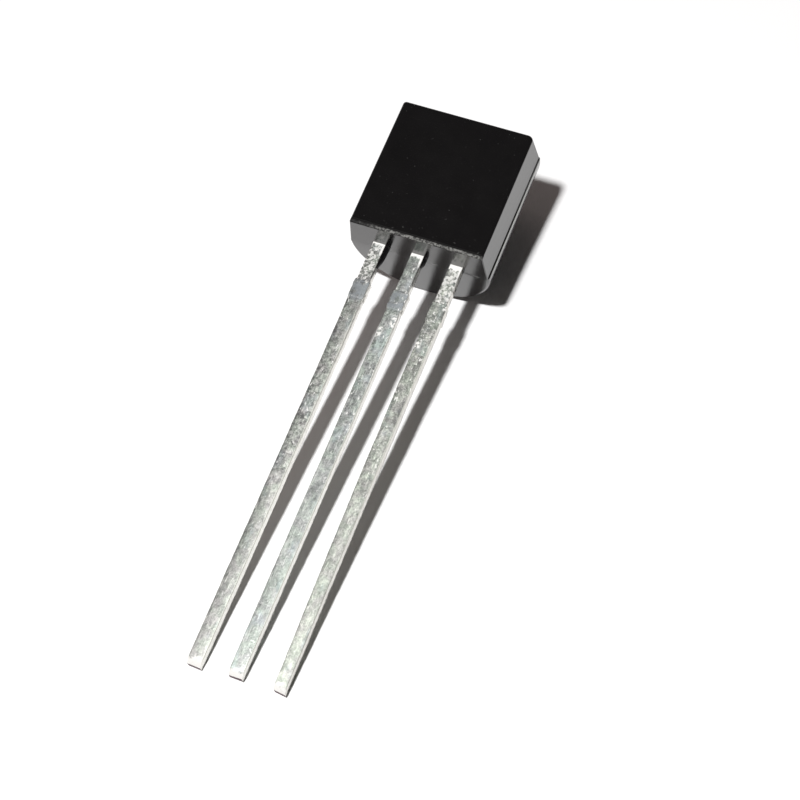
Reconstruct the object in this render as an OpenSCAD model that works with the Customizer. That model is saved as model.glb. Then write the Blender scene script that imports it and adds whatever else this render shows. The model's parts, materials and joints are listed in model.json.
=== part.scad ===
// TO-92 transistor: a moulded D-shaped body round a stamped three-lead frame that carries a silicon die.
// The pieces are drawn in the package's own frame: X runs across the leads, -Y along them to their tips and
// +Z out of the flat face. The lead-exit end of the body is at y = 0. The parting plane, which is also the
// underside of the lead frame, is at z = 0. lay_down() then lays each piece down as the transistor comes to
// rest: on the rim of its round back and on its three lead tips, with the flat face up.

/* [Moulded body] */
// Width of the body at its parting line
body_width = 4.56; // [4.4:0.02:4.8]
// Height of the body along the leads
body_height = 4.56; // [4.2:0.02:5]
// Depth of the flat half, from the parting plane to the flat face
front_depth = 1.22; // [1.1:0.02:1.6]
// Draft of the flat half's two sides, in degrees
side_draft = 5; // [2:0.5:10]
// Draft of the flat half's two ends, in degrees
front_end_draft = 4; // [2:0.5:8]
// Draft of the round half's two ends, in degrees
back_end_draft = 3; // [1:0.5:6]
// Radius of the rounded edges of the flat face
edge_radius = 0.06; // [0.04:0.01:0.12]
// Radius of the flat half's upright corners and of the round half's rims
corner_radius = 0.12; // [0.08:0.01:0.3]
// Width of the ledge along the body's two sides, where the flat half is narrower than the round half
parting_step = 0.015; // [0.01:0.005:0.06]
// Diameter of the round ejector pin mark in the back
pin_mark_diameter = 1.6; // [1:0.1:1.8]
// Depth of the pin mark under the crown of the back
pin_mark_depth = 0.2; // [0.18:0.02:0.4]

/* [Leads] */
// Distance between the centre lines of neighbouring leads
lead_pitch = 1.27; // [1.22:0.01:1.34]
// Length of the leads outside the body
lead_length = 14.3; // [10:0.1:18]
// Thickness of the lead frame
lead_thickness = 0.34; // [0.3:0.01:0.5]
// Width of a lead from its trimmed stubs to its tip
lead_width = 0.45; // [0.38:0.01:0.52]
// Width of a lead from the body to its trimmed stubs
root_width = 0.41; // [0.34:0.01:0.48]
// Distance from the body to the stubs where the tie bar was trimmed off
stub_start = 1.4; // [1:0.05:2.5]
// Length of the trimmed stubs along the lead
stub_length = 0.62; // [0.4:0.02:1]
// Width of a lead across its trimmed stubs
stub_width = 0.5; // [0.46:0.01:0.6]
// Length of the rolled-over upper edge at a sheared lead tip
tip_roll_length = 0.28; // [0.1:0.01:0.4]
// Depth of the rolled-over upper edge at a sheared lead tip
tip_roll_depth = 0.2; // [0.1:0.01:0.26]
// Sideways drift of the base lead's tip
base_tip_drift = 0.1; // [-0.3:0.02:0.3]

/* [Lead frame inside the body] */
// Length of the narrow necks from the body's end to the pads
neck_length = 0.85; // [0.6:0.05:1.1]
// Width of the die paddle on the collector lead
paddle_width = 1.36; // [1.1:0.02:1.6]
// Length of the die paddle with its shoulder
paddle_length = 2.3; // [2:0.05:2.6]
// Length of the shoulder that widens the neck into the paddle
shoulder_length = 0.35; // [0.2:0.05:0.6]
// Diameter of the hole in the paddle that locks it into the moulding
lock_hole_diameter = 0.4; // [0.2:0.05:0.5]
// Distance of the lock hole's centre from the end of the paddle
lock_hole_inset = 0.42; // [0.35:0.01:0.5]
// Width of the bond posts on the outer leads
post_width = 0.76; // [0.6:0.02:0.85]
// Length of the bond posts
post_length = 1.3; // [1:0.05:1.6]
// Clearance between the paddle and each bond post
post_clearance = 0.25; // [0.15:0.01:0.35]
// Radius of the notch in each bond post that locks it into the moulding
lock_notch_radius = 0.15; // [0.1:0.01:0.2]

/* [Die and bond wires] */
// Side of the square die
die_size = 0.5; // [0.36:0.02:0.7]
// Thickness of the die
die_thickness = 0.2; // [0.1:0.01:0.3]
// Thickness of the solder layer under the die
solder_thickness = 0.02; // [0.01:0.005:0.05]
// Width of the solder rim that shows round the die
solder_rim = 0.03; // [0.01:0.01:0.06]
// Diameter of the bond wires
wire_diameter = 0.05; // [0.03:0.005:0.07]
// Diameter of the ball bonds on the die
ball_diameter = 0.11; // [0.08:0.01:0.14]
// Height of the ball bonds
ball_height = 0.03; // [0.02:0.005:0.05]
// Width of the flattened stitch bonds on the posts
stitch_width = 0.1; // [0.08:0.01:0.14]
// Distance of the stitch bonds from the end of their posts
stitch_inset = 0.35; // [0.2:0.05:0.5]
// Height of the wire loops above the die
wire_loop = 0.25; // [0.15:0.01:0.32]

/* [Hidden] */
$fn = 96;

// Colours of the finishes
epoxy_black = [0.10, 0.10, 0.11];
tin_grey = [0.66, 0.66, 0.63];
solder_grey = [0.55, 0.56, 0.58];
silicon_blue = [0.28, 0.30, 0.38];
wire_gold = [0.85, 0.68, 0.30];

// Body: the round half is a half cylinder, and both halves lose a little width and height to their draft
back_radius = body_width / 2;
flat_foot = back_radius - parting_step;
side_inset = front_depth * tan(side_draft);
front_inset = front_depth * tan(front_end_draft);
// Cutting and crossing profiles run this far past what they cut
overrun = 1;
// Straight steps in the arc of a rounded edge
arc_steps = 6;

// Lead frame
stub_end = stub_start + stub_length;
paddle_end = neck_length + paddle_length;
post_end = neck_length + post_length;
post_inner = paddle_width / 2 + post_clearance;
post_outer = post_inner + post_width;

// Die stack on the middle of the paddle
die_y = neck_length + paddle_length / 2;
die_foot = lead_thickness + solder_thickness;
die_top = die_foot + die_thickness;

// Bond wires, each a swept tube that rises straight off the die and comes straight down on its post
wire_sides = 8;
wire_steps = 10;
pad_offset = die_size / 4;
stitch_x = (post_inner + post_outer) / 2;
stitch_y = post_end - stitch_inset;
wire_handle = (wire_loop + (die_top - lead_thickness) / 2) * 4 / 3;
ball_step = ball_height / (3 * wire_handle);

function unit(v) = v / norm(v);
function corner_angle(p, a, b) = acos(unit(a - p) * unit(b - p));
function corner_centre(p, a, b, r) =
    p + unit(unit(a - p) + unit(b - p)) * r / sin(corner_angle(p, a, b) / 2);
function heading(v) = atan2(v.y, v.x);
function nearest_turn(angle) = (angle + 540) % 360 - 180;

// The points of an arc of radius r that rounds corner p between its neighbours a and b
function corner_arc(p, a, b, r) =
    let (centre = corner_centre(p, a, b, r))
    let (reach = r / tan(corner_angle(p, a, b) / 2))
    let (from = heading(p + unit(a - p) * reach - centre))
    let (sweep = nearest_turn(heading(p + unit(b - p) * reach - centre) - from))
    [for (k = [0:arc_steps])
        let (turn = from + sweep * k / arc_steps)
        centre + r * [cos(turn), sin(turn)]];

// Rims of the round half, as radius and y, and the points of the near rim that the draft of the end leaves
near_rim = corner_arc([back_radius, 0], [0, 0], [back_radius, body_height], corner_radius);
far_rim = corner_arc([back_radius, body_height], [back_radius, 0], [0, body_height], corner_radius);
function past_draft(p) = p.y - p.x * tan(back_end_draft);
function draft_cut(a, b) = a + (b - a) * past_draft(a) / (past_draft(a) - past_draft(b));
rim_points = concat(
    [for (p = near_rim) if (past_draft(p) >= 0) p],
    [for (k = [1:arc_steps]) if (past_draft(near_rim[k - 1]) < 0 && past_draft(near_rim[k]) >= 0)
        draft_cut(near_rim[k - 1], near_rim[k])]);

// Rolled-over upper edge of a lead tip, as y and z, from the sheared end to the top of the lead
tip_points = [for (k = [0:arc_steps])
    let (turn = 90 * k / arc_steps)
    [tip_roll_length * (1 - cos(turn)) - lead_length, lead_thickness - tip_roll_depth * (1 - sin(turn))]];

// Rest: one straight line touches the lower rim of the round back and the lower edges of the lead tips
rest_tilt = max([for (p = rim_points) atan(p.x / (lead_length + p.y))]);
rest_height = lead_length * sin(rest_tilt);
far_end = max([for (p = rim_points) (body_height - p.y) * cos(rest_tilt) + p.x * sin(rest_tilt)]);
tip_end = min([for (p = tip_points) p.x * cos(rest_tilt) - p.y * sin(rest_tilt)]);

// Puts a finished piece into the pose in which the transistor rests
module lay_down() {
    translate([0, -(far_end + tip_end) / 2, rest_height]) rotate([rest_tilt, 0, 0]) children();
}

// Extrudes an outline drawn in X and Z along the leads
module along_y(y_from, y_to) {
    translate([0, y_to, 0]) rotate([90, 0, 0]) linear_extrude(y_to - y_from) children();
}

// Extrudes an outline drawn in Y and Z across the leads
module across_x(width) {
    rotate([90, 0, 90]) linear_extrude(width, center = true) children();
}

// Outline of a drafted flat half, from foot_from to foot_to on the parting plane, rounded at the flat face
module drafted_outline(foot_from, foot_to, inset) {
    foot_a = [foot_from, 0];
    foot_b = [foot_to, 0];
    top_a = [foot_from + inset, front_depth];
    top_b = [foot_to - inset, front_depth];
    polygon(concat([foot_a], corner_arc(top_a, foot_a, top_b, edge_radius),
                   corner_arc(top_b, top_a, foot_b, edge_radius), [foot_b]));
}

// What rounds the flat half's upright corner between its lead end and its -X side, along the drafted edge
module corner_cut() {
    end_out = [0, -cos(front_end_draft), sin(front_end_draft)];
    side_out = [-cos(side_draft), 0, sin(side_draft)];
    edge = unit(cross(side_out, end_out));
    along_end = cross(edge, end_out);
    along_side = cross(side_out, edge);
    inward = cross(edge, along_end);
    arc = corner_arc([0, 0], [1, 0], [along_side * along_end, along_side * inward], corner_radius);
    multmatrix([[along_end.x, inward.x, edge.x, -flat_foot],
                [along_end.y, inward.y, edge.y, 0],
                [along_end.z, inward.z, edge.z, 0],
                [0, 0, 0, 1]])
        translate([0, 0, -overrun]) linear_extrude(front_depth + 3 * overrun)
            polygon(concat(arc, [[-overrun, corner_radius], [-overrun, -overrun],
                                 [corner_radius, -overrun]]));
}

// Half with the flat face: two drafted outlines crossed, with rounded upright corners
module flat_half() {
    difference() {
        intersection() {
            along_y(-overrun, body_height + overrun) drafted_outline(-flat_foot, flat_foot, side_inset);
            across_x(body_width + 2 * overrun) drafted_outline(0, body_height, front_inset);
        }
        for (far = [0, 1], right = [0, 1])
            translate([0, far * body_height, 0]) mirror([0, far, 0]) mirror([right, 0, 0]) corner_cut();
    }
}

// Half with the round back: a turned half cylinder with rounded rims, its two ends cut to their draft
module round_half() {
    depth = back_radius + overrun;
    inset = depth * tan(back_end_draft);
    intersection() {
        rotate([-90, 0, 0]) rotate_extrude()
            polygon(concat([[0, 0]], near_rim, far_rim, [[0, body_height]]));
        across_x(body_width + 2 * overrun)
            polygon([[0, 0], [body_height, 0], [body_height - inset, -depth], [inset, -depth]]);
    }
}

module pin_mark() {
    translate([0, body_height / 2, -back_radius - overrun])
        cylinder(d = pin_mark_diameter, h = overrun + pin_mark_depth);
}

// Plan of one lead from its tip to the end of its neck
module lead_plan(drift) {
    half = lead_width / 2;
    polygon([[drift - half, -lead_length], [drift + half, -lead_length],
             [half, -stub_end], [-half, -stub_end]]);
    translate([-stub_width / 2, -stub_end]) square([stub_width, stub_length]);
    translate([-root_width / 2, -stub_start]) square([root_width, stub_start + neck_length]);
}

// Plan of the collector lead with the paddle that carries the die
module collector_plan() {
    lead_plan(0);
    difference() {
        polygon([[-root_width / 2, neck_length], [root_width / 2, neck_length],
                 [paddle_width / 2, neck_length + shoulder_length], [paddle_width / 2, paddle_end],
                 [-paddle_width / 2, paddle_end], [-paddle_width / 2, neck_length + shoulder_length]]);
        translate([0, paddle_end - lock_hole_inset]) circle(d = lock_hole_diameter);
    }
}

// Plan of an outer lead on the +X side with its bond post
module outer_plan(drift) {
    translate([lead_pitch, 0]) lead_plan(drift);
    difference() {
        translate([post_inner, neck_length]) square([post_width, post_length]);
        translate([post_outer, neck_length + post_length / 2]) circle(r = lock_notch_radius);
    }
}

// Cuts a lead from the strip, with the upper edge of its tip rolled over by the shear
module stamped() {
    difference() {
        linear_extrude(lead_thickness) children();
        across_x(2 * body_width)
            polygon(concat([tip_points[0] - [overrun, 0]], tip_points,
                           [tip_points[arc_steps] + [0, overrun], tip_points[0] + [-overrun, overrun]]));
    }
}

module emitter_form() {
    mirror([1, 0, 0]) stamped() outer_plan(0);
}

module collector_form() {
    stamped() collector_plan();
}

module base_form() {
    stamped() outer_plan(base_tip_drift);
}

module solder_form() {
    side = die_size + 2 * solder_rim;
    translate([-side / 2, die_y - side / 2, lead_thickness]) cube([side, side, solder_thickness]);
}

module die_form() {
    translate([-die_size / 2, die_y - die_size / 2, die_foot]) cube([die_size, die_size, die_thickness]);
}

function wire_point(p, t) =
    pow(1 - t, 3) * p[0] + 3 * pow(1 - t, 2) * t * p[1] + 3 * (1 - t) * t * t * p[2] + pow(t, 3) * p[3];
function wire_direction(p, t) =
    unit(pow(1 - t, 2) * (p[1] - p[0]) + 2 * (1 - t) * t * (p[2] - p[1]) + t * t * (p[3] - p[2]));

// Swept wire from a ball bond on the die to a stitch bond on the post, on the +X side
module wire_form() {
    start = [pad_offset, die_y, die_top];
    end = [stitch_x, stitch_y, lead_thickness];
    path = [start, start + [0, 0, wire_handle], end + [0, 0, wire_handle + die_top - lead_thickness], end];
    sideways = unit(cross([0, 0, 1], end - start));
    rings = concat(
        [[0, ball_diameter], [ball_step, ball_diameter], [2 * ball_step, wire_diameter]],
        [for (i = [1:wire_steps - 1]) [i / wire_steps, wire_diameter]],
        [[1 - ball_step, wire_diameter], [1, stitch_width]]);
    last = len(rings) - 1;
    points = [for (ring = rings, k = [0:wire_sides - 1])
        let (turn = 360 * k / wire_sides, upright = cross(wire_direction(path, ring[0]), sideways))
        wire_point(path, ring[0]) + ring[1] / 2 * (cos(turn) * sideways + sin(turn) * upright)];
    walls = [for (i = [0:last - 1], k = [0:wire_sides - 1])
        let (next = (k + 1) % wire_sides)
        [i * wire_sides + k, (i + 1) * wire_sides + k, (i + 1) * wire_sides + next, i * wire_sides + next]];
    first_cap = [for (k = [0:wire_sides - 1]) k];
    last_cap = [for (k = [wire_sides - 1:-1:0]) last * wire_sides + k];
    polyhedron(points, concat([first_cap], walls, [last_cap]));
}

module moulded_body() {
    color(epoxy_black) lay_down() difference() {
        union() {
            flat_half();
            round_half();
        }
        pin_mark();
        emitter_form();
        collector_form();
        base_form();
        solder_form();
        die_form();
        wire_form();
        mirror([1, 0, 0]) wire_form();
    }
}

module emitter_lead() {
    color(tin_grey) lay_down() emitter_form();
}

module collector_lead() {
    color(tin_grey) lay_down() collector_form();
}

module base_lead() {
    color(tin_grey) lay_down() base_form();
}

module die_attach() {
    color(solder_grey) lay_down() solder_form();
}

module die() {
    color(silicon_blue) lay_down() die_form();
}

module emitter_bond_wire() {
    color(wire_gold) lay_down() mirror([1, 0, 0]) wire_form();
}

module base_bond_wire() {
    color(wire_gold) lay_down() wire_form();
}

moulded_body();
emitter_lead();
collector_lead();
base_lead();
die_attach();
die();
emitter_bond_wire();
base_bond_wire();
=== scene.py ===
import json
import math
import bmesh
import bpy
from mathutils import Matrix, Vector, noise


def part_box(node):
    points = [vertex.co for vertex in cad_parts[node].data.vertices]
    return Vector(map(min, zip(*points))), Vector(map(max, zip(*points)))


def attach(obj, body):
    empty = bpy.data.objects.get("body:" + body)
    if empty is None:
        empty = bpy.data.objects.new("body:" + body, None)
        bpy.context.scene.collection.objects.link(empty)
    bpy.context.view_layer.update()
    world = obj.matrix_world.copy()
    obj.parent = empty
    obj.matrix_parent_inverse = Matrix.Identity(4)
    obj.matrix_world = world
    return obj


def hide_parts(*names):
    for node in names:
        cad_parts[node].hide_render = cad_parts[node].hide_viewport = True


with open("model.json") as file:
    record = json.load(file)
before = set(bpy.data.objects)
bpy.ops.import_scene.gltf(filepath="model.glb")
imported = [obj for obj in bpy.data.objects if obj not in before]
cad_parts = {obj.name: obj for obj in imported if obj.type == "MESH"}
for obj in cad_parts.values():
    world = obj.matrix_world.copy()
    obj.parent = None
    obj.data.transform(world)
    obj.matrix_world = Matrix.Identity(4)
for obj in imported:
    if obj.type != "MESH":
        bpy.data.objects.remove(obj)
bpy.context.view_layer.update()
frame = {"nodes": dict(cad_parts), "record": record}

# Lead frame: three leads stamped from one copper alloy strip and tin plated. The tie bar that joined them was
# trimmed off after moulding, which leaves short wider stubs, and the tips were sheared to length.
mounts = {mount["name"]: mount for mount in frame["record"]["mounts"]}
lead_row = mounts["lead_row"]
lead_length = lead_row["dims"]["length_mm"]
lead_pitch = lead_row["dims"]["spacing_x_mm"]
lead_thickness = 0.34
lead_width = 0.45
root_width = 0.41
stub_start = 1.4
stub_end = 2.02
stub_width = 0.5
stub_step_in = 0.02
stub_step_out = 0.03
lead_edge = 0.022
lead_edge_steps = 4
lead_inside = 0.1
tip_roll_length = 0.28
tip_roll_depth = 0.13
tip_tear = 0.07
tears_per_mm = 6.0
# How far the stamped edges depart from straight, more so round the stubs, how often, and where that sets in
ragged_edge = 0.006
ragged_stub = 0.012
ragged_per_mm = 9.0
wavy_edge = 0.008
waves_per_mm = 1.3
uneven_from = 0.05
uneven_full = 0.3
stub_shift = 0.03
burr_reach = 0.1
# How much shorter than the longest lead each one was trimmed, how far its left and right edges stray towards
# the tip, and how the stray grows along it
leads = {
    "emitter_lead": (0.0, 0.075, 0.07, 0.7),
    "collector_lead": (0.07, 0.058, 0.05, 0.7),
    "base_lead": (0.1, 0.17, 0.085, 1.7),
}

# The package's own frame, in millimetres: x across the leads, y from the lead exit to the top of the body and
# z out of the flat face, with the underside of the leads at z = 0
mm = 0.001
to_body = -Vector(lead_row["axis"])
to_flat = Vector(mounts["flat_face"]["axis"])
across = to_body.cross(to_flat)
package_turn = Matrix((across, to_body, to_flat)).transposed()
package_origin = Vector(lead_row["pos_m"]) + (to_body * lead_length - to_flat * lead_thickness / 2) * mm
lay_down = Matrix.Translation(package_origin) @ package_turn.to_4x4() @ Matrix.Scale(mm, 4)
stand_up = lay_down.inverted()
rest_tilt = math.atan2(-to_flat.y, to_flat.z)


def smooth_step(low, high, value):
    """Rises smoothly from 0 at low to 1 at high."""
    share = min(max((value - low) / (high - low), 0.0), 1.0)
    return share * share * (3 - 2 * share)


def lead_edges(y, seed, strays, growth):
    """Where the left and right edges of a lead stand beside its centre line at y."""
    along = -y
    strayed = (max(along - stub_end, 0.0) / (lead_length - stub_end)) ** growth
    burr = smooth_step(stub_start - burr_reach, stub_start, along)
    burr -= smooth_step(stub_end, stub_end + burr_reach, along)
    uneven = smooth_step(uneven_from, uneven_full, along)
    edges = []
    for side, stray in zip((-1, 1), strays):
        # The outer numbers of each vector only keep the noise of the leads and their edges apart
        ragged = noise.noise(Vector((seed * 3.7 + side, y * ragged_per_mm, 0.5)))
        ragged *= ragged_edge + ragged_stub * burr
        wavy = noise.noise(Vector((seed * 7.1 + side, y * waves_per_mm, 2.5))) * wavy_edge
        shift = stub_shift * noise.noise(Vector((seed * 5.3, side * 2.1, 7.7)))
        stub_from = stub_start + shift
        stub_to = stub_end + shift
        widened = smooth_step(stub_from - stub_step_in, stub_from + stub_step_in, along)
        narrowed = smooth_step(stub_to - stub_step_out, stub_to + stub_step_out, along)
        half = root_width / 2
        half += (stub_width - root_width) / 2 * widened
        half += (lead_width - stub_width) / 2 * narrowed
        half += (ragged + wavy) * uneven
        edges.append(side * half + stray * strayed)
    return edges


def lead_ring(centre, y, seed, strays, growth, tip):
    """The lead's section at y, a rectangle with slightly rounded edges, rolled down and torn at the tip."""
    left, right = lead_edges(y, seed, strays, growth)
    reach = 1 - min((y - tip) / tip_roll_length, 1.0)
    top = lead_thickness - tip_roll_depth * reach * reach
    tear = tip_tear * reach * reach
    r = lead_edge
    corners = ((right - r, r, -90), (right - r, top - r, 0), (left + r, top - r, 90), (left + r, r, 180))
    ring = []
    for x, z, turn in corners:
        for step in range(lead_edge_steps + 1):
            angle = math.radians(turn + 90 * step / lead_edge_steps)
            beside = x + r * math.cos(angle)
            torn = tear * noise.noise(Vector((seed * 2.3, beside * tears_per_mm, 4.2)))
            ring.append(Vector((centre + beside, y + torn, z + r * math.sin(angle))))
    return ring


def add_object(name, mesh):
    piece = bpy.data.objects.new(name, mesh)
    bpy.context.scene.collection.objects.link(piece)
    return piece


def mesh_object(name, build):
    """Turns a bmesh drawn in the package's frame into an object that lies in the row's frame."""
    bmesh.ops.recalc_face_normals(build, faces=build.faces)
    mesh = bpy.data.meshes.new(name)
    build.to_mesh(mesh)
    build.free()
    mesh.transform(lay_down)
    return add_object(name, mesh)


def loft(build, rings):
    """Joins closed rings of points into a skin and closes both ends."""
    rows = [[build.verts.new(point) for point in ring] for ring in rings]
    for near, far in zip(rows, rows[1:]):
        for i in range(len(near)):
            j = (i + 1) % len(near)
            build.faces.new((near[i], near[j], far[j], far[i]))
    build.faces.new(rows[0][::-1])
    build.faces.new(rows[-1])


def bake(piece):
    """Puts the result of a piece's modifiers into its mesh."""
    bpy.context.view_layer.update()
    depsgraph = bpy.context.evaluated_depsgraph_get()
    finished = bpy.data.meshes.new_from_object(piece.evaluated_get(depsgraph), depsgraph=depsgraph)
    piece.modifiers.clear()
    piece.data = finished


def carve(piece, tool, operation):
    """Joins a tool to a piece or cuts it out of it."""
    step = piece.modifiers.new("carve", "BOOLEAN")
    step.object = tool
    step.operation = operation
    step.solver = "EXACT"
    bake(piece)


# How far apart a lead's sections stand: close at its tip and its stubs, wide elsewhere
tip_stretch = 0.4
tip_spacing = 0.012
stub_spacing = 0.008
plain_spacing = 0.04


def lead_outside(name, centre, seed, strays, growth, tip):
    """A lead from its sheared tip to just inside the body."""
    stretches = ((tip + tip_stretch, tip_spacing), (-stub_end - burr_reach, plain_spacing),
                 (-stub_start + burr_reach, stub_spacing), (lead_inside, plain_spacing))
    stations = [tip]
    for end, spacing in stretches:
        start = stations[-1]
        count = max(1, round((end - start) / spacing))
        stations += [start + (end - start) * (i + 1) / count for i in range(count)]
    build = bmesh.new()
    loft(build, [lead_ring(centre, y, seed, strays, growth, tip) for y in stations])
    return mesh_object(name, build)


weld_distance = 1e-7
cut_distance = 1e-8


def lead_inner_end(node):
    """The neck and pad of a lead inside the body, cut from its solid."""
    build = bmesh.new()
    build.from_mesh(frame["nodes"][node].data)
    bmesh.ops.remove_doubles(build, verts=build.verts, dist=weld_distance)
    cut = bmesh.ops.bisect_plane(
        build, geom=build.verts[:] + build.edges[:] + build.faces[:], dist=cut_distance,
        plane_co=lay_down @ Vector((0, lead_inside / 2, 0)), plane_no=-to_body, clear_outer=True)
    edges = [part for part in cut["geom_cut"] if isinstance(part, bmesh.types.BMEdge)]
    bmesh.ops.edgeloop_fill(build, edges=edges)
    bmesh.ops.recalc_face_normals(build, faces=build.faces)
    mesh = bpy.data.meshes.new(node + "_inner")
    build.to_mesh(mesh)
    build.free()
    return add_object(node + "_inner", mesh)


def new_material(name):
    material = bpy.data.materials.new(name)
    material.use_nodes = True
    return material, material.node_tree, material.node_tree.nodes["Principled BSDF"]


def dress(piece, *materials):
    """Gives a piece these materials and no others."""
    piece.data.materials.clear()
    for material in materials:
        piece.data.materials.append(material)


def package_place(tree):
    """The place on a piece in the package's own frame, in millimetres."""
    place = tree.nodes.new("ShaderNodeTexCoord")
    turn = tree.nodes.new("ShaderNodeMapping")
    turn.vector_type = "TEXTURE"
    turn.inputs["Location"].default_value = package_origin
    turn.inputs["Rotation"].default_value = (rest_tilt, 0, 0)
    turn.inputs["Scale"].default_value = (mm, mm, mm)
    tree.links.new(place.outputs["Object"], turn.inputs["Vector"])
    return turn.outputs["Vector"]


def split(tree, vector):
    node = tree.nodes.new("ShaderNodeSeparateXYZ")
    tree.links.new(vector, node.inputs["Vector"])
    return node.outputs


def stretched(tree, vector, scale, turn=0.0):
    """The place with its axes scaled and turned, so that a cloud gets a direction."""
    node = tree.nodes.new("ShaderNodeMapping")
    node.inputs["Rotation"].default_value = (0, 0, math.radians(turn))
    node.inputs["Scale"].default_value = scale
    tree.links.new(vector, node.inputs["Vector"])
    return node.outputs["Vector"]


# A cloud varies round its middle, and nearly all of it lies in its range
cloud_middle = 0.5
cloud_range = (0.3, 0.7)


def cloud(tree, vector, scale, detail=4.0, roughness=0.55, distortion=0.0):
    """Noise with this many marks to the millimetre."""
    node = tree.nodes.new("ShaderNodeTexNoise")
    node.inputs["Scale"].default_value = scale
    node.inputs["Detail"].default_value = detail
    node.inputs["Roughness"].default_value = roughness
    node.inputs["Distortion"].default_value = distortion
    tree.links.new(vector, node.inputs["Vector"])
    return node.outputs["Fac"]


def ramp(tree, value, stops):
    """Turns a value into a colour between these stops."""
    node = tree.nodes.new("ShaderNodeValToRGB")
    line = node.color_ramp
    for element, (position, colour) in zip(line.elements, (stops[0], stops[-1])):
        element.position = position
        element.color = (*colour, 1)
    for position, colour in stops[1:-1]:
        line.elements.new(position).color = (*colour, 1)
    tree.links.new(value, node.inputs["Fac"])
    return node.outputs["Color"]


def spread(tree, value, from_low, from_high, to_low=0.0, to_high=1.0):
    """Maps one range of a value to another and holds it at the ends."""
    node = tree.nodes.new("ShaderNodeMapRange")
    ends = {"From Min": from_low, "From Max": from_high, "To Min": to_low, "To Max": to_high}
    for name, number in ends.items():
        node.inputs[name].default_value = number
    tree.links.new(value, node.inputs["Value"])
    return node.outputs["Result"]


def level(tree, share, off, on):
    """Is off where the share is 0 and on where it is 1."""
    return spread(tree, share, 0.0, 1.0, off, on)


def combine(tree, operation, result, *others):
    """Joins values or numbers one after another by an operation."""
    for other in others:
        node = tree.nodes.new("ShaderNodeMath")
        node.operation = operation
        for socket, value in zip(node.inputs, (result, other)):
            if isinstance(value, (int, float)):
                socket.default_value = value
            else:
                tree.links.new(value, socket)
        result = node.outputs["Value"]
    return result


def window(tree, value, start, full, fade, end):
    """Is 1 from full to fade and falls to 0 at start and end."""
    return combine(tree, "MULTIPLY", spread(tree, value, start, full), spread(tree, value, end, fade))


def swing(tree, pattern, strength):
    """How far a cloud departs from its middle, times a strength."""
    return combine(tree, "MULTIPLY", combine(tree, "SUBTRACT", pattern, cloud_middle), strength)


def lead_by_lead(tree, first_lead, last_lead, values):
    """Gives each lead its own one of three values."""
    first, centre, last = values
    return combine(tree, "ADD", level(tree, first_lead, centre, first),
                   level(tree, last_lead, 0.0, last - centre))


def blend(tree, share, first, second, way="MIX"):
    """Mixes a colour with a second one by a share."""
    node = tree.nodes.new("ShaderNodeMix")
    node.data_type = "RGBA"
    node.blend_type = way
    colour_a, colour_b = [socket for socket in node.inputs if socket.type == "RGBA"]
    if isinstance(share, float):
        node.inputs["Factor"].default_value = share
    else:
        tree.links.new(share, node.inputs["Factor"])
    tree.links.new(first, colour_a)
    if isinstance(second, tuple):
        colour_b.default_value = (*second, 1)
    else:
        tree.links.new(second, colour_b)
    return next(socket for socket in node.outputs if socket.type == "RGBA")


def raised(tree, shader, height, distance):
    """Gives a surface relief of this depth."""
    node = tree.nodes.new("ShaderNodeBump")
    node.inputs["Strength"].default_value = 1.0
    node.inputs["Distance"].default_value = distance
    tree.links.new(height, node.inputs["Height"])
    tree.links.new(node.outputs["Normal"], shader.inputs["Normal"])


# Plating: matt tin, rubbed and torn where the leads were trimmed. A start says where a mark sets in and is
# full along the leads, a span also where it fades and ends, and a side says it across a lead, from the middle
# of its edges. A cut is the part of a cloud that shows. An along or across gives strengths at two places.
tin, tree, shader = new_material("tin_plating")
place = package_place(tree)
axes = split(tree, place)
along = axes["Y"]

# Which lead a place is on, and how far it lies from the middle of that lead's straying edges
centre_limit = 0.5
outer_limit = 0.7
first_lead = spread(tree, axes["X"], -centre_limit, -outer_limit)
last_lead = spread(tree, axes["X"], centre_limit, outer_limit)
outer = combine(tree, "ADD", first_lead, last_lead)
not_first = spread(tree, first_lead, 1.0, 0.0)
centre_lead = spread(tree, outer, 1.0, 0.0)
middles = [(left + right) / 2 for _, left, right, _ in leads.values()]
growths = [growth for *_, growth in leads.values()]
stray = lead_by_lead(tree, first_lead, last_lead, middles)
strayed = combine(tree, "POWER", spread(tree, along, -stub_end, -lead_length),
                  level(tree, last_lead, growths[1], growths[2]))
from_left = combine(tree, "MODULO", combine(tree, "ADD", axes["X"], 2.5 * lead_pitch), lead_pitch)
beside = combine(tree, "SUBTRACT", from_left, lead_pitch / 2, combine(tree, "MULTIPLY", stray, strayed))

# Fine grain, mottling, wide patches, torn bounds and scratches two ways. The zones along the leads wander
# with the mottling.
scratch_cut = (0.62, 0.68)
ripple_reach = 0.07
grain = cloud(tree, place, 18.0, detail=3.0, roughness=0.6)
mottle = cloud(tree, stretched(tree, place, (1.0, 0.55, 1.0), 20.0), 8.5, distortion=0.5)
patches = cloud(tree, stretched(tree, place, (1.0, 0.4, 1.0)), 2.6, detail=3.0, distortion=0.5)
torn = cloud(tree, place, 5.0, roughness=0.65)
long_scratches = cloud(tree, stretched(tree, place, (26.0, 1.6, 26.0), 9.0), 1.0, detail=2.0)
short_scratches = cloud(tree, stretched(tree, place, (20.0, 2.6, 20.0), -24.0), 1.0, detail=2.0)
scored = combine(tree, "MAXIMUM", spread(tree, long_scratches, *scratch_cut),
                 spread(tree, short_scratches, *scratch_cut))
ripple = combine(tree, "ADD", along, spread(tree, mottle, *cloud_range, -ripple_reach, ripple_reach))

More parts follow.
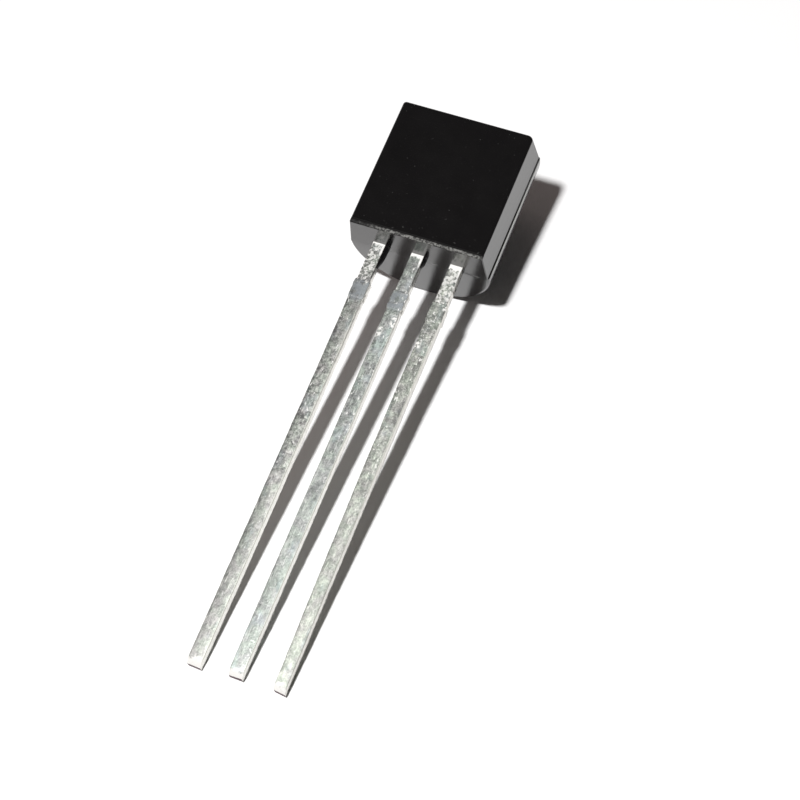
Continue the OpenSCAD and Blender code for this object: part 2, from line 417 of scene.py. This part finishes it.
# Roots and stubs: speckled white as far as the stubs, which the trimming tool rubbed to an even bluish grey
root_start = (-1.42, -1.36)
speckle_cut = (0.48, 0.54)
speckle_inner_outer = (0.06, 0.75)
stub_span = (-2.2, -1.95, -1.5, -1.3)
stub_across = (0.9, 0.5, 0.1, 0.8)
torn_cut = (0.40, 0.54, 0.2, 1.0)
root_zone = spread(tree, ripple, *root_start)
speckle = spread(tree, cloud(tree, place, 9.5, detail=3.0, roughness=0.6), *speckle_cut)
speckle = combine(tree, "MULTIPLY", speckle, level(tree, outer, *speckle_inner_outer))
stub_zone = combine(tree, "MULTIPLY", window(tree, ripple, *stub_span),
                    spread(tree, axes["X"], *stub_across), spread(tree, torn, *torn_cut))

# Lips and tips: a painted highlight, white where the leads leave the body and where the cutter rolled their
# tips down, standing in for the lamp and the table shining in the curved tin
lip_slant = 0.045
top_lip_start = (-0.17, -0.13)
right_lip_start = (-0.45, -0.35)
right_lip_side = (0.11, 0.15)
tip_start = (-lead_length + 0.32, -lead_length + 0.22)
torn_range = (0.35, 0.65)
first_tip_shift = 0.1
lip_place = combine(tree, "ADD", ripple, combine(tree, "MULTIPLY", axes["X"], lip_slant))
top_lip_highlight = spread(tree, lip_place, *top_lip_start)
right_lip_highlight = combine(tree, "MULTIPLY", spread(tree, beside, *right_lip_side),
                    spread(tree, ripple, *right_lip_start))
tip_place = combine(tree, "ADD", ripple, spread(tree, torn, *torn_range, -ripple_reach, ripple_reach),
                    level(tree, first_lead, 0.0, first_tip_shift))
lip_tip_highlight = combine(tree, "MAXIMUM", top_lip_highlight, right_lip_highlight, spread(tree, tip_place, *tip_start))

# Dots, flecks and burrs: bits of bright tin raised by handling and trimming
dot_cut = (0.65, 0.69)
dots_along = (-9.0, -5.0, 0.25, 0.8)
fleck_cut = (0.58, 0.63)
fleck_span = (-3.4, -3.0, -2.0, -1.7)
fleck_others_last = (0.2, 0.5)
burr_cut = (0.49, 0.53)
left_burr_span = (-3.1, -3.0, -2.75, -2.65)
left_burr_side = (-0.04, -0.1)
right_burr_span = (-2.75, -2.6, -2.3, -2.15)
right_burr_side = (0.02, 0.1)
stub_burr_span = (-1.64, -1.57, -1.45, -1.38)
stub_burr_side = (0.09, 0.15)
dots = spread(tree, cloud(tree, stretched(tree, place, (13.0, 5.5, 13.0), 24.0), 1.0, detail=2.0), *dot_cut)
dots = combine(tree, "MULTIPLY", dots, spread(tree, along, *dots_along))
flecks = combine(tree, "MULTIPLY", window(tree, along, *fleck_span),
                 spread(tree, cloud(tree, place, 12.0, detail=2.0), *fleck_cut),
                 level(tree, last_lead, *fleck_others_last))
left_burr = combine(tree, "MULTIPLY", window(tree, along, *left_burr_span),
                    spread(tree, beside, *left_burr_side))
right_burr = combine(tree, "MULTIPLY", window(tree, along, *right_burr_span),
                     spread(tree, beside, *right_burr_side), centre_lead)
stub_burr = combine(tree, "MULTIPLY", window(tree, along, *stub_burr_span),
                    spread(tree, beside, *stub_burr_side), last_lead)
burrs = combine(tree, "MULTIPLY", combine(tree, "MAXIMUM", left_burr, right_burr, stub_burr),
                spread(tree, cloud(tree, place, 11.0, detail=3.0), *burr_cut))
burrs = combine(tree, "MULTIPLY", combine(tree, "MAXIMUM", burrs, flecks), not_first)
# The frost also takes in the painted highlight of the lips and tips
frost_and_highlights = combine(tree, "MAXIMUM", combine(tree, "MULTIPLY", root_zone, speckle), dots, burrs, lip_tip_highlight)

# Greys: grain, pits, mottling, patches and scratches, with shades and gleams along the edges and on the tips
plain_grey = 0.36
scratch_grey = 0.46
grain_along = (-10.0, -3.0, 0.18, 0.42)
bluish_cut = (0.55, 0.62)
bluish_calm = 0.12
pit_span = (-9.0, -7.0, -4.2, -3.2)
pit_weight = 0.5
mottle_along = (-10.0, -5.0, 0.3, 0.45)
patch_weight = 0.28
left_shades = (0.075, -0.03, 0.035)
left_shade_side = (-0.09, -0.18)
shade_cut = (0.38, 0.54, 0.55, 1.0)
shade_on_stub = (0.0, 0.6, 1.0, 0.3)
shade_along = (-13.6, -12.6, 0.4, 1.0)
right_shade_side = (0.06, 0.18)
right_shade_depth = 0.03
right_gleam_side = (0.0, 0.2)
tip_gleam_start = (-12.6, -13.8)
gleam_height = 0.03
centre_root_gleam = 0.015
bluish = spread(tree, cloud(tree, stretched(tree, place, (1.0, 0.5, 1.0)), 2.1, detail=3.0), *bluish_cut)
fineness = combine(tree, "SUBTRACT", spread(tree, along, *grain_along),
                   combine(tree, "MULTIPLY", bluish, bluish_calm))
pitting = combine(tree, "MULTIPLY", window(tree, along, *pit_span), pit_weight, first_lead)
pits = swing(tree, cloud(tree, place, 10.0, detail=2.0), pitting)
mottling = swing(tree, mottle, spread(tree, along, *mottle_along))
grey = combine(tree, "ADD", swing(tree, grain, fineness), pits, mottling,
               combine(tree, "MULTIPLY", patches, patch_weight),
               level(tree, scored, plain_grey, scratch_grey))
left_depth = lead_by_lead(tree, first_lead, last_lead, left_shades)
left_shade = combine(tree, "MULTIPLY", left_depth, spread(tree, beside, *left_shade_side),
                     spread(tree, patches, *shade_cut), spread(tree, stub_zone, *shade_on_stub),
                     spread(tree, along, *shade_along))
right_shade = combine(tree, "MULTIPLY", last_lead,
                      spread(tree, beside, *right_shade_side, 0.0, right_shade_depth))
right_gleam = combine(tree, "MULTIPLY", first_lead,
                      spread(tree, beside, *right_gleam_side, 0.0, gleam_height))
tip_gleam = spread(tree, along, *tip_gleam_start, 0.0, gleam_height)
root_gleam = combine(tree, "MULTIPLY", root_zone, level(tree, outer, centre_root_gleam, 0.0))
grey = combine(tree, "SUBTRACT", grey, combine(tree, "ADD", left_shade, right_shade))
grey = combine(tree, "ADD", grey, right_gleam, tip_gleam, root_gleam)

# Colours: the greys under each lead's own cast and a slow drift of hue, the rubbed stubs, a painted highlight
# along the right edges, and the white frost, which also carries the painted highlight of the lips and tips.
# Frost is dull tin and reflects less like metal, and so do the painted highlights.
tin_greys = ((0.38, (0.178, 0.178, 0.178)), (0.5, (0.3755, 0.3755, 0.369)), (0.62, (0.659, 0.659, 0.64)))
left_cast = (0.815, 0.825, 0.8)
centre_cast = (0.845, 0.885, 0.863)
right_cast = (0.945, 0.97, 0.915)
casts = ((0.33, left_cast), (0.36, centre_cast), (0.64, centre_cast), (0.67, right_cast))
casts_half_width = 2.0
hue_drift = ((0.4, (0.965, 1.0, 0.955)), (0.6, (1.0, 0.968, 0.985)))
bluish_cast = (0.95, 0.985, 1.02)
stub_grey = (0.36, 0.385, 0.405)
edge_highlight_colour = (0.78, 0.79, 0.71)
right_highlight_side = (0.18, 0.205)
right_highlight_start = (-2.3, -2.7)
right_highlight_share = 0.6
frost_and_highlight_white = (0.90, 0.89, 0.86)
frost_and_highlight_metal = 0.45
highlight_metal = 0.2
cast_place = spread(tree, axes["X"], -casts_half_width, casts_half_width)
# Painted highlight: a bright line along the right edge of each lead's top, for the table shining in its
# rounded edge
right_edge_highlight = combine(tree, "MULTIPLY", spread(tree, beside, *right_highlight_side, 0.0, right_highlight_share),
                     spread(tree, along, *right_highlight_start))
colour = blend(tree, 1.0, ramp(tree, grey, tin_greys), ramp(tree, cast_place, casts), "MULTIPLY")
colour = blend(tree, 1.0, colour, ramp(tree, cloud(tree, place, 2.6, detail=3.0), hue_drift), "MULTIPLY")
colour = blend(tree, bluish, colour, bluish_cast, "MULTIPLY")
colour = blend(tree, stub_zone, colour, stub_grey)
colour = blend(tree, right_edge_highlight, colour, edge_highlight_colour)
tree.links.new(blend(tree, frost_and_highlights, colour, frost_and_highlight_white), shader.inputs["Base Color"])
# Frost and the painted highlight of lips and tips are less metallic, so that their white shows
metal = combine(tree, "MULTIPLY", level(tree, frost_and_highlights, 1.0, frost_and_highlight_metal), level(tree, lip_tip_highlight, 1.0, highlight_metal))
# Less metal where the right edges carry their painted highlight
tree.links.new(combine(tree, "SUBTRACT", metal, right_edge_highlight), shader.inputs["Metallic"])

# Relief: grain, mottling and scratches, deeper at the roots and shallow on the rubbed stubs
patch_range = (0.35, 0.65)
tin_roughness = (0.51, 0.59)
grain_relief = 0.5
mottle_relief = 0.6
scratch_relief = 0.15
middle_relief = 0.55
stub_relief = 0.4
tin_relief = 0.012
tree.links.new(spread(tree, patches, *patch_range, *tin_roughness), shader.inputs["Roughness"])
relief = combine(tree, "ADD", combine(tree, "MULTIPLY", grain, grain_relief),
                 combine(tree, "MULTIPLY", mottle, mottle_relief),
                 combine(tree, "MULTIPLY", scored, scratch_relief))
relief = combine(tree, "SUBTRACT", relief, middle_relief)
depth = combine(tree, "ADD", root_zone, level(tree, stub_zone, 1.0, stub_relief))
raised(tree, shader, combine(tree, "MULTIPLY", relief, depth), tin_relief * mm)

# The sides are burnished by the stamping tool, and darker towards the right lead
cut_greys = ((0.3, (0.64, 0.63, 0.59)), (0.7, (0.78, 0.77, 0.725)))
cut_darkening = (0.88, 0.87, 0.86)
cut_darkening_start = (0.2, 1.2)
cut_roughness = (0.24, 0.14)
cut_relief = 0.002
cut_side, tree, shader = new_material("burnished_cut")
place = package_place(tree)
drag = cloud(tree, stretched(tree, place, (1.0, 14.0, 1.0)), 1.2)
shader.inputs["Metallic"].default_value = 1.0
darkened = spread(tree, split(tree, place)["X"], *cut_darkening_start)
colour = blend(tree, darkened, ramp(tree, drag, cut_greys), cut_darkening, "MULTIPLY")
tree.links.new(colour, shader.inputs["Base Color"])
tree.links.new(spread(tree, drag, *cloud_range, *cut_roughness), shader.inputs["Roughness"])
raised(tree, shader, drag, cut_relief * mm)


def mottled(tree, shader, pattern, colours, smooth, rough):
    """Runs a finish's colour and roughness over a cloud."""
    tree.links.new(ramp(tree, pattern, list(zip(cloud_range, colours))), shader.inputs["Base Color"])
    tree.links.new(spread(tree, pattern, *cloud_range, smooth, rough), shader.inputs["Roughness"])


# The tips show the bare torn copper alloy, dark and dull
torn_copper = ((0.12, 0.085, 0.098), (0.25, 0.19, 0.208))
torn_relief = 0.01
sheared, tree, shader = new_material("sheared_metal")
tears = cloud(tree, stretched(tree, package_place(tree), (1.0, 1.0, 0.35)), 30.0)
shader.inputs["Specular IOR Level"].default_value = 0.15
mottled(tree, shader, tears, torn_copper, smooth=0.6, rough=0.8)
raised(tree, shader, tears, torn_relief * mm)

side_facing = 0.7
tip_facing = 0.8
tip_end = 0.1
lead_crease = math.radians(40)
finishes = (tin, sheared, cut_side)
for number, (node, (trim, *strays, growth)) in enumerate(leads.items()):
    tip = -lead_length + trim
    lead = lead_outside(node + "_tinned", (number - 1) * lead_pitch, number + 1, strays, growth, tip)
    inner_end = lead_inner_end(node)
    carve(lead, inner_end, "UNION")
    bpy.data.objects.remove(inner_end)
    dress(lead, *finishes)
    for face in lead.data.polygons:
        finish = cut_side if abs(face.normal.x) > side_facing else tin
        if face.normal.dot(to_body) < -tip_facing and (stand_up @ face.center).y < tip + tip_end:
            finish = sheared
        face.use_smooth = True
        face.material_index = finishes.index(finish)
    lead.data.set_sharp_from_angle(angle=lead_crease)
    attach(lead, "root")
    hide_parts(node)

# Solder under the die: a thin dull layer that was molten when the die was set on the paddle and froze with a
# narrow rim round it.
solder_greys = ((0.40, 0.41, 0.43), (0.58, 0.59, 0.61))
solder_relief = 0.004
solder, tree, shader = new_material("die_solder")
skin = cloud(tree, package_place(tree), 9.0)
shader.inputs["Metallic"].default_value = 1.0
mottled(tree, shader, skin, solder_greys, smooth=0.35, rough=0.55)
raised(tree, shader, skin, solder_relief * mm)
dress(frame["nodes"]["die_attach"], solder)

# Die: a square of silicon sawn from its wafer, polished and bluish grey on top and scored by the saw on its
# sides. It is soldered to the paddle of the centre lead.
silicon_blues = ((0.13, 0.15, 0.22), (0.19, 0.21, 0.30))
silicon_relief = 0.002
silicon, tree, shader = new_material("silicon")
saw_marks = cloud(tree, stretched(tree, package_place(tree), (1.0, 1.0, 12.0)), 6.0)
shader.inputs["Metallic"].default_value = 0.4
mottled(tree, shader, saw_marks, silicon_blues, smooth=0.12, rough=0.3)
raised(tree, shader, saw_marks, silicon_relief * mm)
dress(frame["nodes"]["die"], silicon)

# Bond wires: two fine drawn gold wires, welded to the top of the die and looped over to the posts of the
# outer leads, where they are stitched down.
gold_yellows = ((0.78, 0.56, 0.18), (0.88, 0.68, 0.28))
gold, tree, shader = new_material("gold_wire")
draw_lines = cloud(tree, package_place(tree), 40.0)
shader.inputs["Metallic"].default_value = 1.0
mottled(tree, shader, draw_lines, gold_yellows, smooth=0.18, rough=0.3)
for node in ("emitter_bond_wire", "base_bond_wire"):
    dress(frame["nodes"][node], gold)

# Moulded body: black filled epoxy pressed round the lead frame in a two-part mould. The flat half stands back
# a little at the parting line, both halves are drafted, and an ejector pin left its round mark in the back.
body_low, body_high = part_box("moulded_body")
back_radius = (body_high.x - body_low.x) / mm / 2
body_height = 4.56
front_depth = (stand_up @ Vector(mounts["flat_face"]["pos_m"])).z
left_slope = 0.1
right_slope = 0.0877
far_slope = 0.044
near_slopes = (-0.004, 0.0098)
near_swell = 0.03
far_swell = 0.04
side_ledge = 0.02
near_right_corner = 0.03
far_right_corner = 0.06
far_right_growth = 0.14
far_left_corner = 0.1
near_left_corner = 0.04
least_corner = 0.01
corner_steps = 8
# How far the rounding of the flat face's edges reaches in from its left, right, near and far edges
edge_reach = (0.06, 0.12, 0.085, 0.13)
edge_drop = 0.05
edge_steps = 12
hidden_foot = 0.05


def flat_outline(z, inset):
    """The flat half's outline at z with rounded corners, drawn in by a share of its edges' reach."""
    lift = max(z, 0.0)
    share = lift / front_depth
    in_left, in_right, in_near, in_far = [inset * reach for reach in edge_reach]
    left = -back_radius + lift * left_slope + in_left
    right = back_radius - side_ledge - lift * right_slope - in_right
    near_left, near_right = [lift * slope - near_swell + in_near for slope in near_slopes]
    far = body_height + far_swell - lift * far_slope - in_far
    corners = ((right, near_right, near_right_corner, -90),
               (right, far, far_right_corner + far_right_growth * share, 0),
               (left, far, far_left_corner, 90), (left, near_left, near_left_corner, 180))
    points = []
    for x, y, radius, turn in corners:
        r = max(radius - inset * edge_drop, least_corner)
        middle = Vector((x - math.copysign(r, x), y + (r if turn in (-90, 180) else -r), z))
        for step in range(corner_steps + 1):
            angle = math.radians(turn + 90 * step / corner_steps)
            points.append(middle + Vector((r * math.cos(angle), r * math.sin(angle), 0)))
    return points


# The round half: its drafted ends with their rims, the ledge of its far end and the slight bulge of its
# right side
back_near_slope = 0.0654
back_far_slope = 0.0678
rim_radius = 0.05
near_rim_growth = 0.0125
rim_steps = 8
end_ledge = 0.005
side_bulge = 0.022
ledge_bulge = 0.01
bulge_turn = math.radians(36)
back_steps = 120


def back_profile(turn):
    """The round half's outline in the plane through its axis at this angle, with drafted ends and rims."""
    near_rim = rim_radius + near_rim_growth * (1 + math.cos(turn)) ** 2
    near = []
    far = []
    for step in range(rim_steps + 1):
        angle = math.radians(90 * step / rim_steps)
        radius = back_radius - near_rim * (1 - math.sin(angle))
        rise = radius * math.sin(turn) * back_near_slope - near_swell + near_rim * (1 - math.cos(angle))
        near.append((radius, rise))
        radius = back_radius - rim_radius * (1 - math.sin(angle))
        drop = radius * math.sin(turn) * back_far_slope + end_ledge + rim_radius * (1 - math.cos(angle))
        far.append((radius, body_height + far_swell - drop))
    share = min(turn / bulge_turn, 1.0)
    bulge = side_bulge * math.sin(math.pi * share) + ledge_bulge * (1 - share)
    outline = near + far[::-1]
    return [Vector((radius * math.cos(turn) + bulge, y, -radius * math.sin(turn))) for radius, y in outline]


build = bmesh.new()
rings = [flat_outline(-hidden_foot, 0.0), flat_outline(0.0, 0.0)]
for step in range(edge_steps + 1):
    angle = math.radians(90 * step / edge_steps)
    rings.append(flat_outline(front_depth - edge_drop * (1 - math.sin(angle)), 1 - math.cos(angle)))
loft(build, rings)
body = mesh_object("black_moulding", build)

build = bmesh.new()
profiles = [back_profile(math.pi * i / back_steps) for i in range(back_steps + 1)]
rows = [[build.verts.new(point) for point in profile] for profile in profiles]
for near, far in zip(rows, rows[1:]):
    for i in range(len(near) - 1):
        build.faces.new((near[i], near[i + 1], far[i + 1], far[i]))
build.faces.new([row[0] for row in rows])
build.faces.new([row[-1] for row in rows])
build.faces.new(rows[0] + rows[-1][::-1])
round_half = mesh_object("round_half", build)
carve(body, round_half, "UNION")
bpy.data.objects.remove(round_half)

# Thin flash that bled out along the right sides of the leads, as lead, length, width and how it tapers
flashes = ((-1, 0.8, 0.115, 4.0), (0, 0.37, 0.085, 5.0), (1, 0.12, 0.05, 2.0))
flash_foot = 0.06
flash_inside = 0.03
flash_end_width = 0.004
flash_ragged = 0.2
flash_ragged_per_mm = 6
flash_middle = 0.16
flash_half_height = 0.155
flash_end_loss = 0.5
flash_steps = 12
flash_turn = 18
build = bmesh.new()
for number, length, width, taper in flashes:
    foot = number * lead_pitch + root_width / 2
    rings = []
    for step in range(flash_steps + 1):
        share = step / flash_steps
        y = flash_foot - (flash_foot + length) * share
        ragged = 1 + flash_ragged * noise.noise(Vector((number, y * flash_ragged_per_mm, 1)))
        wide = flash_end_width + width * (1 - share ** taper) * ragged
        tall = flash_half_height * (1 - flash_end_loss * share ** 2)
        ring = [Vector((foot - flash_inside, y, flash_middle + tall)),
                Vector((foot - flash_inside, y, flash_middle - tall))]
        for turn in range(-90, 91, flash_turn):
            angle = math.radians(turn)
            ring.append(Vector((foot + wide * math.cos(angle), y, flash_middle + tall * math.sin(angle))))
        rings.append(ring)
    loft(build, rings)
flash = mesh_object("flash", build)
carve(body, flash, "UNION")
bpy.data.objects.remove(flash)

# The mark of the ejector pin, and the pockets that the lead frame, the die and the wires fill
pin_mark_radius = 0.8
pin_mark_depth = 0.2
pin_clear = 0.2
pin_steps = 64
pin_turns = [math.tau * i / pin_steps for i in range(pin_steps)]
pin_ring = [Vector((pin_mark_radius * math.cos(turn), body_height / 2 + pin_mark_radius * math.sin(turn), 0))
            for turn in pin_turns]
pin_ends = (-back_radius - pin_clear, -back_radius + pin_mark_depth)
build = bmesh.new()
loft(build, [[point + Vector((0, 0, z)) for point in pin_ring] for z in pin_ends])
pin = mesh_object("ejector_pin", build)
carve(body, pin, "DIFFERENCE")
bpy.data.objects.remove(pin)
for node in (*leads, "die_attach", "die", "emitter_bond_wire", "base_bond_wire"):
    carve(body, frame["nodes"][node], "DIFFERENCE")
body_crease = math.radians(32)
for face in body.data.polygons:
    face.use_smooth = True
body.data.set_sharp_from_angle(angle=body_crease)
body.modifiers.new("even_normals", "WEIGHTED_NORMAL").keep_sharp = True
bake(body)

# Its finish: glossy and nearly black, with a dull nicked front edge that carries a painted broken highlight,
# specks of dust, a pale broken seam at the near end and a painted reflection on the rim at the right of the
# round half
epoxy, tree, shader = new_material("black_epoxy")
place = package_place(tree)
axes = split(tree, place)
drift = cloud(tree, place, 1.3, detail=6.0)

# The front edge is dull and nicked, and a thin broken line of painted highlight lies along it, standing in
# for the lamp's glint on its rounding and fading out towards the left
front_edge_depth = (front_depth - 0.07, front_depth - 0.05)
front_edge_width = (0.16, 0.1)
glint_depth = (front_depth - 0.06, front_depth - 0.035)
glint_width = (0.08, 0.045)
glint_cut = (0.43, 0.6, 0.15, 1.0)
glint_across = (-1.7, -1.0, 0.1, 1.0)
nicks = cloud(tree, place, 8.0, detail=3.0)
glint_noise = cloud(tree, place, 16.0, detail=2.0)
front_edge = combine(tree, "MULTIPLY", spread(tree, axes["Z"], *front_edge_depth),
                     spread(tree, axes["Y"], *front_edge_width))
painted_edge_glint = combine(tree, "MULTIPLY", front_edge, spread(tree, glint_noise, *glint_cut),
                 spread(tree, axes["Y"], *glint_width), spread(tree, axes["Z"], *glint_depth),
                 spread(tree, axes["X"], *glint_across))

# The seam is pale in places, dust lies thicker on the flat face near the leads, and a painted reflection
# lightens the rim at the right of the round half, just below the parting line
seam_height = (0.025, 0.01)
seam_end = (0.06, 0.03)
seam_cut = (0.46, 0.54)
face_depth = (front_depth - 0.04, front_depth - 0.02)
near_dust_width = 0.6
near_dust_gain = 0.08
dust_cut = (0.70, 0.75)
dust_strength = 0.4
rim_reflection_span = (-0.14, -0.09, -0.015, 0.0)
rim_reflection_side = (2.1, 2.2)
rim_reflection_start = (0.05, 0.35)
from_seam = combine(tree, "ABSOLUTE", axes["Z"], 0.0)
seam = combine(tree, "MULTIPLY", spread(tree, from_seam, *seam_height), spread(tree, axes["Y"], *seam_end),
               spread(tree, cloud(tree, place, 3.0), *seam_cut))
near_dust = combine(tree, "MULTIPLY", spread(tree, axes["Y"], near_dust_width, 0.0, 0.0, near_dust_gain),
                    spread(tree, axes["Z"], *face_depth))
dust = spread(tree, combine(tree, "ADD", cloud(tree, place, 9.0, detail=2.0), near_dust), *dust_cut)
dusty = combine(tree, "MAXIMUM", combine(tree, "MULTIPLY", dust, dust_strength), seam)
rim_reflection = combine(tree, "MULTIPLY", window(tree, axes["Z"], *rim_reflection_span),
                     spread(tree, axes["X"], *rim_reflection_side), spread(tree, axes["Y"], *rim_reflection_start))

# Colour, gloss and relief, with the flash duller than the body
epoxy_blacks = ((0.3, (0.0055, 0.005, 0.0052)), (0.7, (0.0068, 0.0062, 0.0063)))
dust_grey = (0.09, 0.09, 0.087)
glint_grey = (0.22, 0.22, 0.21)
rim_reflection_grey = (0.38, 0.38, 0.345)
epoxy_roughness = (0.15, 0.18)
edge_roughness = 0.5
epoxy_index = 1.86
flash_zone = (-0.05, -0.08)
plain_gloss = 0.5
edge_gloss = 0.05
flash_gloss = 0.15
fine_relief = 0.1
epoxy_relief = 0.01
colour = blend(tree, dusty, ramp(tree, drift, epoxy_blacks), dust_grey)
# Painted highlight along the front edge
colour = blend(tree, painted_edge_glint, colour, glint_grey)
# Painted reflection on the rim at the right of the round half
tree.links.new(blend(tree, rim_reflection, colour, rim_reflection_grey), shader.inputs["Base Color"])
polish = spread(tree, drift, *cloud_range, *epoxy_roughness)
dullness = combine(tree, "MAXIMUM", polish, combine(tree, "MULTIPLY", front_edge, edge_roughness))
tree.links.new(dullness, shader.inputs["Roughness"])
shader.inputs["IOR"].default_value = epoxy_index
bled = spread(tree, axes["Y"], *flash_zone)
gloss = combine(tree, "MULTIPLY", level(tree, front_edge, plain_gloss, edge_gloss),
                level(tree, bled, 1.0, flash_gloss))
tree.links.new(gloss, shader.inputs["Specular IOR Level"])
fine = cloud(tree, place, 38.0, detail=3.0)
height = combine(tree, "ADD", combine(tree, "MULTIPLY", fine, fine_relief), swing(tree, nicks, front_edge))
raised(tree, shader, height, epoxy_relief * mm)
dress(body, epoxy)
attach(body, "root")
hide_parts("moulded_body")

# Table and light: a plain white table, one soft lamp from the front left and a faint warm fill from the left.
# The sky over the table is dark, so that the flat face mirrors nothing and the sides mirror the table.
table_size = 1.2
table_white = (0.98, 0.98, 0.98, 1)
side = table_size / 2
mesh = bpy.data.meshes.new("white_table")
mesh.from_pydata([(-side, -side, 0), (side, -side, 0), (side, side, 0), (-side, side, 0)], [], [(0, 1, 2, 3)])
table = add_object("white_table", mesh)
card, tree, shader = new_material("white_card")
shader.inputs["Base Color"].default_value = table_white
shader.inputs["Roughness"].default_value = 0.9
shader.inputs["Specular IOR Level"].default_value = 0.1
dress(table, card)

lamp_place = Vector((-6.4, -22.6, 75.0))
lamp_radius = 3.1
lamp = bpy.data.lights.new("key_lamp", "POINT")
lamp.energy = 43.0
lamp.shadow_soft_size = lamp_radius * mm
lamp.use_nodes = True
even = lamp.node_tree.nodes.new("ShaderNodeLightFalloff")
even.inputs["Strength"].default_value = 1.0
lamp.node_tree.links.new(even.outputs["Constant"], lamp.node_tree.nodes["Emission"].inputs["Strength"])
key = add_object("key_lamp", lamp)
key.location = lamp_place * mm
key.visible_camera = False

fill_colour = (1.0, 0.85, 0.81, 1)
fill_strength = 0.3
fill_side = (-0.7, 0.2)
sky_greys = ((0.12, (1, 1, 1)), (0.45, (0.02, 0.02, 0.02)))
world = bpy.data.worlds.new("studio")
bpy.context.scene.world = world
world.use_nodes = True
tree = world.node_tree
way = split(tree, tree.nodes.new("ShaderNodeTexCoord").outputs["Generated"])
fill = tree.nodes["Background"]
fill.inputs["Color"].default_value = fill_colour
tree.links.new(spread(tree, way["X"], *fill_side, fill_strength, 0.0), fill.inputs["Strength"])
sky = tree.nodes.new("ShaderNodeBackground")
tree.links.new(ramp(tree, way["Z"], sky_greys), sky.inputs["Color"])
path = tree.nodes.new("ShaderNodeLightPath").outputs
seen = combine(tree, "MAXIMUM", path["Is Camera Ray"], path["Is Glossy Ray"], path["Is Transmission Ray"])
mix = tree.nodes.new("ShaderNodeMixShader")
tree.links.new(seen, mix.inputs["Fac"])
tree.links.new(fill.outputs["Background"], mix.inputs[1])
tree.links.new(sky.outputs["Background"], mix.inputs[2])
tree.links.new(mix.outputs["Shader"], tree.nodes["World Output"].inputs["Surface"])

# Camera: above and to the right of the leads, as the photograph was taken. Its place and its focal length
# come from a fit to the edges of the body and the leads.
camera_place = Vector((15.341, -29.203, 49.696)) * mm
camera_forward = Vector((-0.24304, 0.50414, -0.82872)).normalized()
camera_right = Vector((0.92483, 0.37814, -0.04118)).normalized()
camera_up = camera_right.cross(camera_forward)
focal_pixels = 1960.4
frame_pixels = 800
lens = bpy.data.cameras.new("camera")
lens.lens = focal_pixels * lens.sensor_width / frame_pixels
lens.clip_start = 1 * mm
camera = add_object("camera", lens)
camera_turn = Matrix((camera_right, camera_up, -camera_forward)).transposed()
camera.matrix_world = Matrix.Translation(camera_place) @ camera_turn.to_4x4()
bpy.context.scene.camera = camera
bpy.context.scene.view_settings.view_transform = "Standard"
